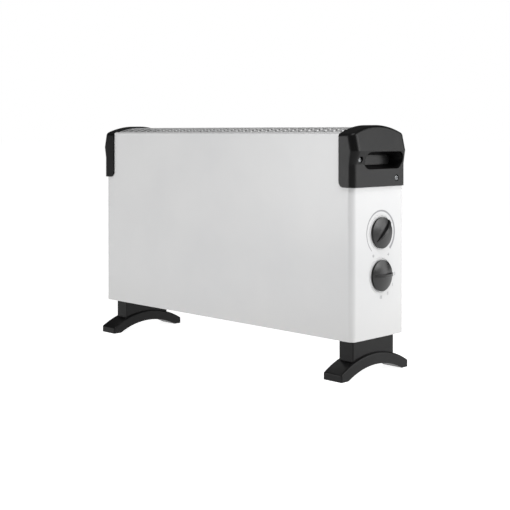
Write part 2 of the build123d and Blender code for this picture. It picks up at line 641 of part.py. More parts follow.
with BuildPart() as foot_nuts:
    with BuildSketch(Plane.XY.offset(FLOOR_Z)):
        with Locations(*FOOT_SCREWS):
            RegularPolygon(NUT_R, 6)
            Circle(FOOT_SCREW[2] + HOLE_GAP, mode=Mode.SUBTRACT)
    extrude(amount=NUT_T)
finish(foot_nuts, "foot_nuts")

BACK_SEATS = [Plane(origin=(side * BACK_SCREW_X, BACK_Y, z), z_dir=(0, 1, 0))
              for side in (-1, 1) for z in BACK_SCREW_ZS]
BACK_SEATS += [Plane(origin=(x, BACK_Y, TRAY_SCREW_Z), z_dir=(0, 1, 0)) for x in TRAY_SCREW_XS]
with BuildPart() as back_screws:
    add([pan_screw(seat, SMALL_SCREW) for seat in BACK_SEATS])
finish(back_screws, "back_screws")


# Knobs: round base with a hollow behind it, and a finger grip that ends in the pointer
def dial_plane(height, degrees):
    """Plane on the right end with its x axis along the pointer."""
    angle = radians(degrees)
    return Plane(origin=(END_X, KNOB_Y, height), x_dir=(0, cos(angle), sin(angle)), z_dir=(1, 0, 0))


def spindle_outline(gap):
    """Round spindle with one flat, grown by a clearance."""
    with BuildSketch() as outline:
        Circle(SPINDLE_R + gap)
        with Locations((0, SPINDLE_FLAT + gap)):
            Rectangle(2 * KNOB_R, KNOB_R, align=(Align.CENTER, Align.MIN), mode=Mode.SUBTRACT)
    return outline.sketch


def grip():
    """Ridge across the knob: arched, highest in the middle, and wider towards the pointer."""
    tail = GRIP_TAIL - KNOB_R
    point = KNOB_R + GRIP_POINT
    with BuildPart() as ridge:
        with BuildSketch(Plane.XZ):
            with BuildLine():
                top = ThreePointArc((tail, KNOB_RIM), (0, GRIP_TOP), (point, GRIP_END))
                Polyline(top @ 1, (point, KNOB_HOLLOW), (tail, KNOB_HOLLOW), top @ 0)
            make_face()
        extrude(amount=GRIP_W_POINT, both=True)
        with BuildSketch():
            with BuildLine():
                Polyline((tail, -GRIP_W_TAIL / 2), (point, -GRIP_W_POINT / 2),
                         (point, GRIP_W_POINT / 2), (tail, GRIP_W_TAIL / 2), close=True)
            make_face()
        extrude(amount=GRIP_TOP + KNOB_RIM, mode=Mode.INTERSECT)
        fillet(ridge.faces().sort_by(Axis.Z)[-1].edges(), GRIP_EDGE_R)
    return ridge.part


def knob(dial):
    """Knob made round the Z axis and then set on the plane dial."""
    with BuildPart() as body:
        with BuildSketch(Plane.XZ):
            with BuildLine():
                crown = ThreePointArc((-KNOB_R, KNOB_RIM), (0, KNOB_RIM + KNOB_CROWN),
                                      (KNOB_R, KNOB_RIM))
                Polyline(crown @ 1, (KNOB_R, 0), (-KNOB_R, 0), crown @ 0)
            make_face()
            Rectangle(KNOB_R, 2 * GRIP_TOP, align=(Align.MIN, Align.CENTER), mode=Mode.INTERSECT)
        revolve(axis=Axis.Z)
        with BuildSketch():
            Circle(KNOB_R - KNOB_WALL)
        extrude(amount=KNOB_HOLLOW, mode=Mode.SUBTRACT)
        with BuildSketch():
            Circle(HUB_R)
        extrude(amount=KNOB_RIM)
        add(grip())
        with BuildSketch():
            add(spindle_outline(SPINDLE_GAP))
        extrude(amount=SPINDLE_IN_KNOB + SPINDLE_GAP, mode=Mode.SUBTRACT)
    return body.part.moved(dial.offset(KNOB_OFF).location)


def spindle(dial):
    """Flatted shaft from inside the device to inside the knob."""
    with BuildPart() as shaft:
        with BuildSketch(dial.offset(-SHEET_T - SPINDLE_IN_BODY)):
            Circle(SPINDLE_R)
        extrude(amount=SPINDLE_IN_BODY + SHEET_T)
        with BuildSketch(dial):
            add(spindle_outline(0))
        extrude(amount=KNOB_OFF + SPINDLE_IN_KNOB)
    return shaft.part


THERMO_DIAL = dial_plane(THERMO_Z, THERMO_REST)
SWITCH_DIAL = dial_plane(SWITCH_Z, SWITCH_REST)

with BuildPart() as thermostat_knob:
    add(knob(THERMO_DIAL))
finish(thermostat_knob, "thermostat_knob")

with BuildPart() as thermostat_spindle:
    add(spindle(THERMO_DIAL))
finish(thermostat_spindle, "thermostat_spindle")

with BuildPart() as selector_knob:
    add(knob(SWITCH_DIAL))
finish(selector_knob, "selector_knob")

with BuildPart() as selector_spindle:
    add(spindle(SWITCH_DIAL))
finish(selector_spindle, "selector_spindle")


# Thermostat and selector switch: blocks behind the right end, with a bush for the spindle
def device(height, size):
    """Device body that carries a spindle and takes two screws through the panel."""
    width, tall, deep = size
    inside = Plane.YZ.offset(INNER_X)
    with BuildPart() as block:
        with BuildSketch(inside) as outline:
            with Locations((KNOB_Y, height)):
                Rectangle(width, tall)
            chamfer(outline.vertices(), DEVICE_CORNER)
        extrude(amount=-deep)
        with BuildSketch(inside):
            with Locations((KNOB_Y, height)):
                Circle(BUSH_R)
        extrude(amount=SHEET_T)
        with BuildSketch(inside.offset(SHEET_T)):
            with Locations((KNOB_Y, height)):
                Circle(SPINDLE_R + SPINDLE_GAP)
        extrude(amount=-(SHEET_T + SPINDLE_IN_BODY + SPINDLE_GAP), mode=Mode.SUBTRACT)
        with BuildSketch(inside):
            with Locations((KNOB_Y, height)):
                with GridLocations(0, DEVICE_SCREW_SPAN, 1, 2):
                    Circle(SMALL_SCREW[2] + HOLE_GAP)
        extrude(amount=-SMALL_SCREW[3], mode=Mode.SUBTRACT)
    return block.part


def device_screws(height):
    """Two screws under the knob."""
    spots = (height - DEVICE_SCREW_SPAN / 2, height + DEVICE_SCREW_SPAN / 2)
    return [pan_screw(Plane(origin=(END_X, KNOB_Y, z), z_dir=(1, 0, 0)), SMALL_SCREW) for z in spots]


THERMO_BACK = INNER_X - THERMO_SIZE[2]
SWITCH_BACK = INNER_X - SWITCH_SIZE[2]
THERMO_TABS = [(KNOB_Y + side * TAB_SPREAD, THERMO_Z) for side in (-1, 1)]
SWITCH_TABS = [(KNOB_Y + side * TAB_SPREAD, SWITCH_Z + up * TAB_SPREAD)
               for up in (-1, 1) for side in (-1, 1)]

with BuildPart() as thermostat_body:
    add(device(THERMO_Z, THERMO_SIZE))
finish(thermostat_body, "thermostat_body")

with BuildPart() as thermostat_tabs:
    add(tabs(Plane(origin=(THERMO_BACK, 0, 0), x_dir=(0, -1, 0), z_dir=(-1, 0, 0)),
             [(-y, z) for y, z in THERMO_TABS]))
finish(thermostat_tabs, "thermostat_tabs")

with BuildPart() as thermostat_screws:
    add(device_screws(THERMO_Z))
finish(thermostat_screws, "thermostat_screws")

with BuildPart() as selector_switch:
    add(device(SWITCH_Z, SWITCH_SIZE))
finish(selector_switch, "selector_switch")

with BuildPart() as selector_tabs:
    add(tabs(Plane(origin=(SWITCH_BACK, 0, 0), x_dir=(0, -1, 0), z_dir=(-1, 0, 0)),
             [(-y, z) for y, z in SWITCH_TABS]))
finish(selector_tabs, "selector_tabs")

with BuildPart() as selector_screws:
    add(device_screws(SWITCH_Z))
finish(selector_screws, "selector_screws")


# Stands for the heating elements: the baffle on the right and a lower bracket on the left
STAND_D = BODY_D - 4 * SHEET_T - 2 * STAND_GAP
STAND_COLLARS = [(y, ELEMENT_Z) for y in ELEMENT_YS]


def stand(side, place, height):
    """Upright sheet on the tray. Its foot points away from the elements."""
    with BuildPart() as sheet:
        with BuildSketch(Plane.YZ.offset(place)):
            with Locations((BODY_SHIFT, FLOOR_Z)):
                Rectangle(STAND_D, height, align=(Align.CENTER, Align.MIN))
            with Locations(*STAND_COLLARS):
                Circle(COLLAR_R + HOLE_GAP, mode=Mode.SUBTRACT)
            with Locations((BODY_SHIFT, NEUTRAL_Z)):
                Circle(GROMMET_R + HOLE_GAP, mode=Mode.SUBTRACT)
        extrude(amount=side * SHEET_T)
        with BuildSketch(Plane.XY.offset(FLOOR_Z)):
            with Locations((place + side * (SHEET_T + STAND_FLANGE) / 2, BODY_SHIFT)):
                Rectangle(SHEET_T + STAND_FLANGE, STAND_D)
            with Locations(*STAND_SCREWS):
                Circle(SMALL_SCREW[2] + HOLE_GAP, mode=Mode.SUBTRACT)
        extrude(amount=SHEET_T)
    return sheet.part


CUTOUT_FACE = Plane.YZ.offset(BAFFLE_X + SHEET_T)
CUTOUT_SCREWS = [(CUTOUT_Y, CUTOUT_Z - CUTOUT_EAR / 2), (CUTOUT_Y, CUTOUT_Z + CUTOUT_EAR / 2)]

with BuildPart() as heat_baffle:
    add(stand(1, BAFFLE_X, BAFFLE_H))
    with BuildSketch(CUTOUT_FACE):
        with Locations((CUTOUT_Y, CUTOUT_Z)):
            Circle(CUTOUT_FACE_R + FIT_GAP)
        with Locations(*CUTOUT_SCREWS):
            Circle(SMALL_SCREW[2] + HOLE_GAP)
    extrude(amount=-2 * SHEET_T, mode=Mode.SUBTRACT)
finish(heat_baffle, "heat_baffle")

with BuildPart() as element_bracket:
    add(stand(-1, BRACKET_X, BRACKET_H))
finish(element_bracket, "element_bracket")

STAND_SEATS = [Plane(origin=(x, y, UNDER_Z), z_dir=(0, 0, -1)) for x, y in STAND_SCREWS]
with BuildPart() as stand_screws:
    add([pan_screw(seat, SMALL_SCREW) for seat in STAND_SEATS])
finish(stand_screws, "stand_screws")


# Heating elements: a sheathed tube in a cross of aluminium fins, held by ceramic collars
TUBE_END_R = BAFFLE_X + TUBE_OUT
TUBE_END_L = BRACKET_X - TUBE_OUT


def fins(y):
    """Cross of fins with folded tips, bored for the tube."""
    with BuildPart() as cross:
        with BuildSketch(Plane.YZ):
            with Locations((y, ELEMENT_Z)):
                Circle(FIN_CORE_R)
                for turn in (-FIN_TURN, FIN_TURN):
                    Rectangle(FIN_SPAN, FIN_SHEET, rotation=turn)
                with PolarLocations((FIN_SPAN - FIN_SHEET) / 2, FIN_TIPS, start_angle=FIN_TURN):
                    Rectangle(FIN_SHEET, FIN_LIP)
                Circle(TUBE_R + TUBE_GAP, mode=Mode.SUBTRACT)
        extrude(amount=FIN_LENGTH / 2, both=True)
    return cross.part


def heating_tube(y):
    """Sheathed tube from the bracket to the baffle."""
    with BuildPart() as tube:
        with BuildSketch(Plane.YZ.offset(TUBE_END_L)):
            with Locations((y, ELEMENT_Z)):
                Circle(TUBE_R)
        extrude(amount=TUBE_END_R - TUBE_END_L)
    return tube.part


with BuildPart() as element_fins_front:
    add(fins(ELEMENT_YS[0]))
finish(element_fins_front, "element_fins_front")

with BuildPart() as element_fins_rear:
    add(fins(ELEMENT_YS[1]))
finish(element_fins_rear, "element_fins_rear")

with BuildPart() as heating_tube_front:
    add(heating_tube(ELEMENT_YS[0]))
finish(heating_tube_front, "heating_tube_front")

with BuildPart() as heating_tube_rear:
    add(heating_tube(ELEMENT_YS[1]))
finish(heating_tube_rear, "heating_tube_rear")

with BuildPart() as element_collars:
    for side, place in ((1, BAFFLE_X), (-1, BRACKET_X)):
        with BuildSketch(Plane.YZ.offset(place - side * COLLAR_FLANGE_T)):
            with Locations(*STAND_COLLARS):
                Circle(COLLAR_FLANGE_R)
        extrude(amount=side * COLLAR_FLANGE_T)
        with BuildSketch(Plane.YZ.offset(place)):
            with Locations(*STAND_COLLARS):
                Circle(COLLAR_R)
        extrude(amount=side * (SHEET_T + COLLAR_OUT))
    with BuildSketch(Plane.YZ):
        with Locations(*STAND_COLLARS):
            Circle(TUBE_R + TUBE_GAP)
    extrude(amount=BODY_W, both=True, mode=Mode.SUBTRACT)
finish(element_collars, "element_collars")

with BuildPart() as element_pins:
    for side, place in ((1, TUBE_END_R), (-1, TUBE_END_L)):
        with BuildSketch(Plane.YZ.offset(place)):
            with Locations(*STAND_COLLARS):
                Circle(PIN_R)
        extrude(amount=side * PIN_L)
finish(element_pins, "element_pins")

LINK_X = TUBE_END_L - PIN_L + LINK_BEFORE_TIP
with BuildPart() as neutral_link:
    with BuildSketch(Plane.YZ.offset(LINK_X)):
        with Locations((BODY_SHIFT, ELEMENT_Z)):
            SlotOverall(2 * ELEMENT_SPREAD + LINK_W, LINK_W)
        with Locations(*STAND_COLLARS):
            Circle(PIN_R + HOLE_GAP, mode=Mode.SUBTRACT)
    extrude(amount=TAB_T)
finish(neutral_link, "neutral_link")


# Thermal cut-out, screwed to the baffle with its sensing face through the sheet
with BuildPart() as thermal_cutout:
    with BuildSketch(CUTOUT_FACE):
        with Locations((CUTOUT_Y, CUTOUT_Z)):
            SlotOverall(CUTOUT_EAR + CUTOUT_EAR_W, CUTOUT_EAR_W, rotation=90)
        with Locations(*CUTOUT_SCREWS):
            Circle(SMALL_SCREW[2] + HOLE_GAP, mode=Mode.SUBTRACT)
    extrude(amount=CUTOUT_EAR_T)
    with BuildSketch(CUTOUT_FACE):
        with Locations((CUTOUT_Y, CUTOUT_Z)):
            Circle(CUTOUT_R)
    extrude(amount=CUTOUT_DEPTH)
    with BuildSketch(CUTOUT_FACE):
        with Locations((CUTOUT_Y, CUTOUT_Z)):
            Circle(CUTOUT_FACE_R)
    extrude(amount=-(SHEET_T + CUTOUT_FACE_OUT))
finish(thermal_cutout, "thermal_cutout")

CUTOUT_TABS = [(CUTOUT_Y + side * CUTOUT_TAB, CUTOUT_Z) for side in (-1, 1)]
with BuildPart() as cutout_tabs:
    add(tabs(CUTOUT_FACE.offset(CUTOUT_DEPTH), CUTOUT_TABS))
finish(cutout_tabs, "cutout_tabs")

with BuildPart() as cutout_screws:
    add([pan_screw(Plane(origin=(BAFFLE_X + SHEET_T + CUTOUT_EAR_T, y, z), z_dir=(1, 0, 0)), SMALL_SCREW)
         for y, z in CUTOUT_SCREWS])
finish(cutout_screws, "cutout_screws")


# Terminal block on the tray, beside the cord inlet
BLOCK_BACK = BLOCK_Y + BLOCK_SIZE[1] / 2
BLOCK_FRONT = BLOCK_Y - BLOCK_SIZE[1] / 2
POLE_XS = [BLOCK_X + step * POLE_PITCH for step in (-1, 0, 1)]
POLE_Z = FLOOR_Z + POLE_UP
BLOCK_TOP = FLOOR_Z + BLOCK_SIZE[2]
BLOCK_SCREWS = [(x, BLOCK_Y + side * BLOCK_SCREW_Y) for x in POLE_XS for side in (-1, 1)]

with BuildPart() as terminal_block:
    with BuildSketch(Plane.XY.offset(FLOOR_Z)):
        with Locations((BLOCK_X, BLOCK_Y)):
            Rectangle(BLOCK_SIZE[0], BLOCK_SIZE[1])
    extrude(amount=BLOCK_SIZE[2])
    chamfer(terminal_block.faces().sort_by(Axis.Z)[-1].edges().filter_by(Axis.X), BLOCK_EDGE)
    with BuildSketch(Plane.XZ.offset(-BLOCK_BACK)):
        with Locations(*[(x, POLE_Z) for x in POLE_XS]):
            Circle(CORD_BORE_R)
    extrude(amount=BLOCK_SIZE[1] - LEAD_GRIP, mode=Mode.SUBTRACT)
    with BuildSketch(Plane.XZ.offset(-BLOCK_FRONT)):
        with Locations(*[(x, POLE_Z) for x in POLE_XS]):
            Circle(LEAD_R + LEAD_GAP)
    extrude(amount=-LEAD_GRIP, mode=Mode.SUBTRACT)
    with BuildSketch(Plane.XY.offset(BLOCK_TOP)):
        with Locations(*BLOCK_SCREWS):
            Circle(BLOCK_SCREW_R + HOLE_GAP)
    extrude(amount=-(BLOCK_TOP - POLE_Z - LEAD_R - LEAD_GAP), mode=Mode.SUBTRACT)
finish(terminal_block, "terminal_block")

with BuildPart() as terminal_screws:
    with BuildSketch(Plane.XY.offset(POLE_Z + CORD_BORE_R)):
        with Locations(*BLOCK_SCREWS):
            Circle(BLOCK_SCREW_R)
    extrude(amount=BLOCK_TOP - POLE_Z - CORD_BORE_R - RECESS_DEEP)
    with BuildSketch(Plane.XY.offset(BLOCK_TOP - RECESS_DEEP)):
        with Locations(*BLOCK_SCREWS):
            Rectangle(2 * BLOCK_SCREW_R, RECESS_W / 2)
    extrude(amount=-RECESS_DEEP, mode=Mode.SUBTRACT)
finish(terminal_screws, "terminal_screws")


# Cord inlet: flanged bush through the back panel with a nut inside
GLAND_SEAT = Plane(origin=(GLAND_X, BACK_Y, GLAND_Z), z_dir=(0, 1, 0))
with BuildPart() as cord_gland:
    with BuildSketch(GLAND_SEAT):
        Circle(GLAND_FLANGE_R)
    extrude(amount=GLAND_FLANGE_T)
    fillet(cord_gland.faces().sort_by(Axis.Y)[-1].edges(), GLAND_FLANGE_T / 2)
    with BuildSketch(GLAND_SEAT):
        Circle(GLAND_R)
    extrude(amount=-(SHEET_T + GLAND_TAIL))
    with BuildSketch(GLAND_SEAT):
        Circle(GLAND_BORE_R)
    extrude(amount=BODY_D, both=True, mode=Mode.SUBTRACT)
finish(cord_gland, "cord_gland")

with BuildPart() as gland_nut:
    with BuildSketch(GLAND_SEAT.offset(-SHEET_T)):
        RegularPolygon(GLAND_NUT_R, 6)
        Circle(GLAND_R + HOLE_GAP, mode=Mode.SUBTRACT)
    extrude(amount=-GLAND_NUT_T)
finish(gland_nut, "gland_nut")


# Earth point on the tray
TAG_END_Y = EARTH_Y + TAG_R + TAG_BARREL_L
with BuildPart() as earth_tag:
    with BuildSketch(Plane.XY.offset(FLOOR_Z)):
        with Locations((EARTH_X, EARTH_Y)):
            Circle(TAG_R)
        with Locations((EARTH_X, EARTH_Y)):
            Rectangle(TAG_BARREL_W, TAG_R + TAG_BARREL_L, align=(Align.CENTER, Align.MIN))
        with Locations((EARTH_X, EARTH_Y)):
            Circle(EARTH_SCREW[2] + HOLE_GAP, mode=Mode.SUBTRACT)
    extrude(amount=TAG_T)
finish(earth_tag, "earth_tag")

with BuildPart() as earth_screw:
    add(pan_screw(Plane(origin=(EARTH_X, EARTH_Y, FLOOR_Z + TAG_T), z_dir=(0, 0, 1)), EARTH_SCREW))
finish(earth_screw, "earth_screw")


# Grommets where the long lead passes the two stands
with BuildPart() as lead_grommets:
    for side, place in ((1, BAFFLE_X), (-1, BRACKET_X)):
        ring = Plane.YZ.offset(place)
        with BuildSketch(ring):
            with Locations((BODY_SHIFT, NEUTRAL_Z)):
                Circle(GROMMET_R)
        extrude(amount=side * GROMMET_LONG)
        for near in (place, place + side * (SHEET_T + GROMMET_LIP)):
            with BuildSketch(Plane.YZ.offset(near)):
                with Locations((BODY_SHIFT, NEUTRAL_Z)):
                    Circle(GROMMET_R + GROMMET_LIP)
            extrude(amount=-side * GROMMET_LIP)
    with BuildSketch(Plane.YZ):
        with Locations((BODY_SHIFT, NEUTRAL_Z)):
            Circle(LEAD_R + LEAD_GAP)
    extrude(amount=BODY_W, both=True, mode=Mode.SUBTRACT)
finish(lead_grommets, "lead_grommets")


# Wiring between the devices. Each route is a short list of chosen points.
POLE_START_Y = BLOCK_FRONT + LEAD_GRIP
THERMO_TIP = THERMO_BACK - TAB_L
SWITCH_TIP = SWITCH_BACK - TAB_L
CUTOUT_TIP = BAFFLE_X + SHEET_T + CUTOUT_DEPTH + TAB_L
PIN_TIP = TUBE_END_R + PIN_L
RISER_X = CUTOUT_TIP + RISER_GAP    # upright runs beside the baffle
LOOP_X = SWITCH_TIP - LOOP_GAP      # upright runs behind the switch
RISER_Y = FRONT_Y + RISER_GAP
NEUTRAL_X = TUBE_END_L - PIN_L - RISER_GAP

with BuildPart() as supply_lead:
    add(lead([(POLE_XS[0], POLE_START_Y, POLE_Z),
              (POLE_XS[0], BLOCK_FRONT - SUPPLY_OUT, POLE_Z),
              (RISER_X, RISER_Y, POLE_Z + SUPPLY_LIFT),
              (RISER_X, RISER_Y, CUTOUT_Z),
              (RISER_X, CUTOUT_TABS[0][0], CUTOUT_Z),
              (CUTOUT_TIP, CUTOUT_TABS[0][0], CUTOUT_Z)]))
finish(supply_lead, "supply_lead")

with BuildPart() as cutout_lead:
    add(lead([(CUTOUT_TIP, CUTOUT_TABS[1][0], CUTOUT_Z),
              (RISER_X, CUTOUT_TABS[1][0], CUTOUT_Z),
              (RISER_X, THERMO_TABS[0][0], THERMO_Z),
              (THERMO_TIP, THERMO_TABS[0][0], THERMO_Z)]))
finish(cutout_lead, "cutout_lead")

with BuildPart() as thermostat_lead:
    add(lead([(THERMO_TIP, THERMO_TABS[1][0], THERMO_Z),
              (LOOP_X, THERMO_TABS[1][0], THERMO_Z),
              (LOOP_X, SWITCH_TABS[3][0], SWITCH_TABS[3][1]),
              (SWITCH_TIP, SWITCH_TABS[3][0], SWITCH_TABS[3][1])]))
finish(thermostat_lead, "thermostat_lead")

with BuildPart() as element_lead_front:
    add(lead([(SWITCH_TIP, SWITCH_TABS[0][0], SWITCH_TABS[0][1]),
              (LOOP_X, SWITCH_TABS[0][0], SWITCH_TABS[0][1]),
              (LOOP_X, ELEMENT_YS[0], ELEMENT_Z),
              (PIN_TIP, ELEMENT_YS[0], ELEMENT_Z)]))
finish(element_lead_front, "element_lead_front")

with BuildPart() as element_lead_rear:
    add(lead([(SWITCH_TIP, SWITCH_TABS[1][0], SWITCH_TABS[1][1]),
              (LOOP_X, SWITCH_TABS[1][0], SWITCH_TABS[1][1]),
              (LOOP_X, ELEMENT_YS[1], ELEMENT_Z),
              (PIN_TIP, ELEMENT_YS[1], ELEMENT_Z)]))
finish(element_lead_rear, "element_lead_rear")

with BuildPart() as neutral_lead:
    add(lead([(POLE_XS[2], POLE_START_Y, POLE_Z),
              (POLE_XS[2], BODY_SHIFT, POLE_Z),
              (POLE_XS[2], BODY_SHIFT, NEUTRAL_Z),
              (NEUTRAL_X, BODY_SHIFT, NEUTRAL_Z),
              (NEUTRAL_X, BODY_SHIFT, ELEMENT_Z),
              (LINK_X, BODY_SHIFT, ELEMENT_Z)]))
finish(neutral_lead, "neutral_lead")

with BuildPart() as earth_lead:
    add(lead([(POLE_XS[1], POLE_START_Y, POLE_Z),
              (POLE_XS[1], BLOCK_FRONT - EARTH_OUT, POLE_Z),
              (POLE_XS[1], TAG_END_Y + EARTH_OUT, FLOOR_Z + LEAD_R + LEAD_GAP),
              (POLE_XS[1], TAG_END_Y, FLOOR_Z + LEAD_R + LEAD_GAP)]))
finish(earth_lead, "earth_lead")
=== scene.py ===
# %% [markdown]
# A free-standing panel heater: a white sheet-steel body with a slotted grille on top, a black moulded cap
# on each end, two arched feet, and two knobs on the right end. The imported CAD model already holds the
# shapes at real size, so this script is about finish: how powder coat, moulded plastic, plated screws and
# the metal inside look, and the small printed marks round the knobs.

# %% Load the frame
import json
import math

import bmesh
import bpy
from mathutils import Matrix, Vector


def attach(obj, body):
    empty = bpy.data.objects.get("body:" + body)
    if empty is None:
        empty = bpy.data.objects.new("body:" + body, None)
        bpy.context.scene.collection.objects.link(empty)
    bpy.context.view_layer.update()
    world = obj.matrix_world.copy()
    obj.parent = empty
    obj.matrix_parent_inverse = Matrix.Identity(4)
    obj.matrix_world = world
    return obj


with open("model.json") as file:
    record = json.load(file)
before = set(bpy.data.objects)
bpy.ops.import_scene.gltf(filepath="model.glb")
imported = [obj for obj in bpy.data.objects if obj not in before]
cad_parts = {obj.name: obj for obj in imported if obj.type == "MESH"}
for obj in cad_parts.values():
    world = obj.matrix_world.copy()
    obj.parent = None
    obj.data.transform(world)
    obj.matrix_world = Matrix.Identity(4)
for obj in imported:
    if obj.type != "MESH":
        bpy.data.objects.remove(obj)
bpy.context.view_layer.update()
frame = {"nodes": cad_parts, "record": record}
MM = 0.001

# %% [markdown]
# The camera comes first, because every later choice is judged through it. The photograph was taken with a
# long lens at 45 degrees to the front panel, level with the top edge of the body. Upright edges stay
# upright in it, so the camera is level too, and a lens shift brings the heater into the frame.

# %% Camera
LENS = 75.06                        # millimetres
SENSOR_WIDTH = 36.0                 # millimetres
LENS_SHIFT = -0.2396
CAMERA_PLACE = (1.1605, -1.1356, 0.3275)
CAMERA_TURN = 44.96                 # degrees from the view straight along +Y
LEVEL = 90                          # degrees from the view straight down

camera_data = bpy.data.cameras.new("camera")
camera_data.lens = LENS
camera_data.sensor_width = SENSOR_WIDTH
camera_data.shift_y = LENS_SHIFT
camera = bpy.data.objects.new("camera", camera_data)
camera.location = CAMERA_PLACE
camera.rotation_euler = (math.radians(LEVEL), 0, math.radians(CAMERA_TURN))
bpy.context.scene.collection.objects.link(camera)
bpy.context.scene.camera = camera
bpy.context.scene.view_settings.view_transform = "Standard"
print("camera: lens", LENS, "mm, turned", CAMERA_TURN, "degrees")

# %% [markdown]
# Materials are node trees, and node trees are sums. Written out node by node they are long and hard to
# read, so a small class wraps a socket and turns Python's own operators into Math nodes. A second class
# holds one material and makes every other kind of node.


# %% Shader arithmetic
class Value:
    """A number that varies over the surface. Arithmetic on it adds Math nodes."""

    def __init__(self, finish, socket):
        self.finish = finish
        self.socket = socket

    def math(self, operation, first, second):
        return self.finish.node("ShaderNodeMath", {"operation": operation}, {0: first, 1: second})

    def __add__(self, other):
        return self.math("ADD", self, other)

    def __sub__(self, other):
        return self.math("SUBTRACT", self, other)

    def __rsub__(self, other):
        return self.math("SUBTRACT", other, self)

    def __mul__(self, other):
        return self.math("MULTIPLY", self, other)

    __radd__ = __add__


class Finish:
    """One material and the nodes that make it."""

    def __init__(self, name):
        self.material = bpy.data.materials.new(name)
        self.material.use_nodes = True
        self.tree = self.material.node_tree
        self.shader = self.tree.nodes["Principled BSDF"]
        self.place = self.node("ShaderNodeTexCoord", {}, {}, "Object")

    def node(self, kind, settings, inputs, out=0):
        made = self.tree.nodes.new(kind)
        for name, value in settings.items():
            if name == "stops":
                ramp = made.color_ramp.elements
                for stop, (position, colour) in zip(ramp, value):
                    stop.position = position
                    stop.color = (*colour, 1)
            else:
                setattr(made, name, value)
        for name, value in inputs.items():
            self.put(made.inputs[name], value)
        return Value(self, made.outputs[out])

    def put(self, socket, value):
        if isinstance(value, Value):
            self.tree.links.new(value.socket, socket)
        else:
            socket.default_value = value

    def set(self, **sockets):
        """Puts values on the shader. An underscore stands for a space."""
        for name, value in sockets.items():
            if isinstance(value, tuple):
                value = (*value, 1)
            self.put(self.shader.inputs[name.replace("_", " ")], value)

    def noise(self, scale, detail=3.0, rough=0.5, place=None):
        """Smooth noise. Its patches are 1 / scale metres across."""
        return self.node("ShaderNodeTexNoise", {},
                         {"Vector": place or self.place, "Scale": scale,
                          "Detail": detail, "Roughness": rough})

    def stretched(self, factors):
        """Coordinates scaled by factors, for grain that runs one way."""
        return self.node("ShaderNodeMapping", {}, {"Vector": self.place, "Scale": factors})

    def ramp(self, value, *stops):
        """Colour that runs between two stops, each (position, colour)."""
        return self.node("ShaderNodeValToRGB", {"stops": stops}, {"Fac": value})

    def between(self, value, low, high):
        """0 below low and 1 above high, and smooth between them."""
        return self.node("ShaderNodeMapRange", {"interpolation_type": "SMOOTHSTEP"},
                         {"Value": value, "From Min": low, "From Max": high})

    def blend(self, mask, first, second):
        """The first colour where the mask is 0, and the second where it is 1."""
        first, second = [(*c, 1) if isinstance(c, tuple) else c for c in (first, second)]
        return self.node("ShaderNodeMix", {"data_type": "RGBA"}, {0: mask, 6: first, 7: second}, 2)

    def split(self):
        """The x, y and z of the place."""
        first = self.node("ShaderNodeSeparateXYZ", {}, {"Vector": self.place})
        return [Value(self, output) for output in first.socket.node.outputs]

    def bump(self, height, distance, strength):
        """Bump of a real height: distance is in metres."""
        normal = self.node("ShaderNodeBump", {},
                           {"Height": height, "Distance": distance, "Strength": strength}, "Normal")
        self.put(self.shader.inputs["Normal"], normal)


print("defined Value and Finish")

# %% [markdown]
# The body is steel sheet with white powder coat. Powder melts into a skin that is never quite flat: it has
# a faint "orange peel" of about two millimetres. Low down, the paint is painted darker and rougher in
# patches, as painted shade. All of it is subtle, because a clean heater is nearly one colour.

# %% White powder coat
PAINT_LOW, PAINT_HIGH = (0.508, 0.510, 0.513), (0.534, 0.534, 0.534)
PAINT_CLOUDS = 9.0                  # noise scales
PAINT_PEEL = 620.0
PAINT_SPECKS = 2600.0
PEEL_DEPTH = 0.00006
# Painted shade: the grey that the paint is blended towards in its lowest few centimetres, and the height
# where it fades out.
LOW_SHADE_TONE = (0.46, 0.45, 0.435)
LOW_SHADE_TOP, LOW_SHADE_FADE = 0.12, 0.09    # metres above the floor, and how deep the fade is
LOW_SHADE_COVER = 0.35


def white_paint():
    paint = Finish("white_paint")
    height = paint.split()[2]
    cloud = paint.noise(PAINT_CLOUDS, 4.0)
    peel = paint.noise(PAINT_PEEL, 2.0)
    speck = paint.noise(PAINT_SPECKS, 1.0)
    # Painted shade: a patchy mask that makes the paint darker and rougher towards the bottom.
    low_shade = paint.between(LOW_SHADE_TOP - height, 0.0, LOW_SHADE_FADE) * cloud
    colour = paint.ramp(cloud, (0.35, PAINT_LOW), (0.65, PAINT_HIGH))
    paint.set(Base_Color=paint.blend(low_shade * LOW_SHADE_COVER, colour, LOW_SHADE_TONE),
              Roughness=0.34 + cloud * 0.10 + low_shade * 0.25,
              Coat_Weight=0.12)
    paint.shader.inputs["Coat Roughness"].default_value = 0.18
    paint.bump(peel * 0.8 + speck * 0.2, PEEL_DEPTH, 0.35)
    return paint.material


WHITE = white_paint()
print("made", WHITE.name)


# %% [markdown]
# Caps and feet are moulded in black plastic from a spark-eroded tool. The tool leaves an even fine grain,
# a fraction of a millimetre across, which spreads the highlights. Hands and carpets polish the high spots,
# so the roughness wanders a little. The knobs come from a smoother tool and shine more.

# %% Black moulded plastic
PLASTIC_CLOUDS = 35.0               # noise scales
PLASTIC_WEAR = 12.0
DARK_SHARE, LIGHT_SHARE = 0.82, 1.25
BLUE_LIFT = 1.04


